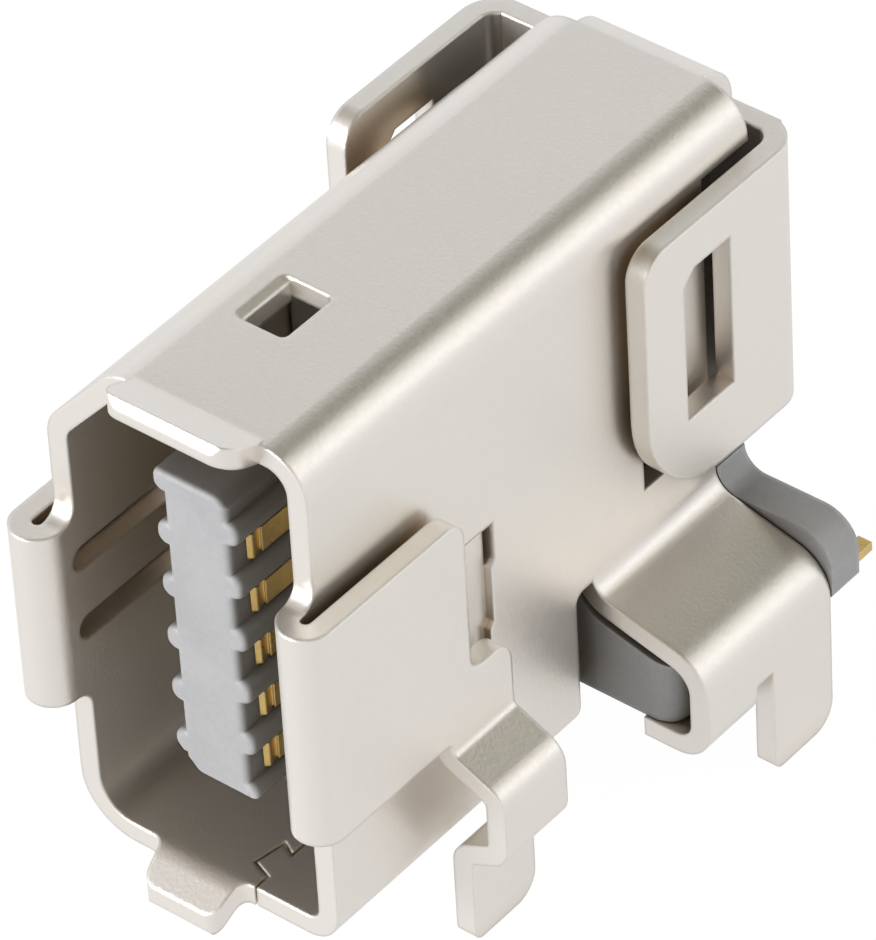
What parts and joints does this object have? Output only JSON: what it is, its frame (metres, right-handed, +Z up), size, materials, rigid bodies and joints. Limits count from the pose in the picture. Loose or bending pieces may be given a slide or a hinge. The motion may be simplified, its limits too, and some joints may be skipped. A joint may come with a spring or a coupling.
{
  "type": "shielded board-mount jack",
  "caption": "Right-angle shielded jack for a board edge, with a ribbed contact tongue in a folded metal mouth, side flaps, ears and solder legs.",
  "frame": {"origin": "on the board face, on the middle plane, at the mouth edge", "axes": "+Z up from the board, +Y from the mouth to the rear, +X to the right seen from the mouth"},
  "size_m": [0.009, 0.0122, 0.0106],
  "materials": {
    "plated_sheet": "satin",
    "grey_moulding": "matte",
    "gold_contact": "satin"
  },
  "bodies": {
    "root": {"shell": "plated_sheet", "housing": "grey_moulding", "contact_l1": "gold_contact", "contact_l2": "gold_contact", "contact_l3": "gold_contact", "contact_l4": "gold_contact", "contact_l5": "gold_contact", "contact_r1": "gold_contact", "contact_r2": "gold_contact", "contact_r3": "gold_contact", "contact_r4": "gold_contact", "contact_r5": "gold_contact"}
  },
  "joints": []
}
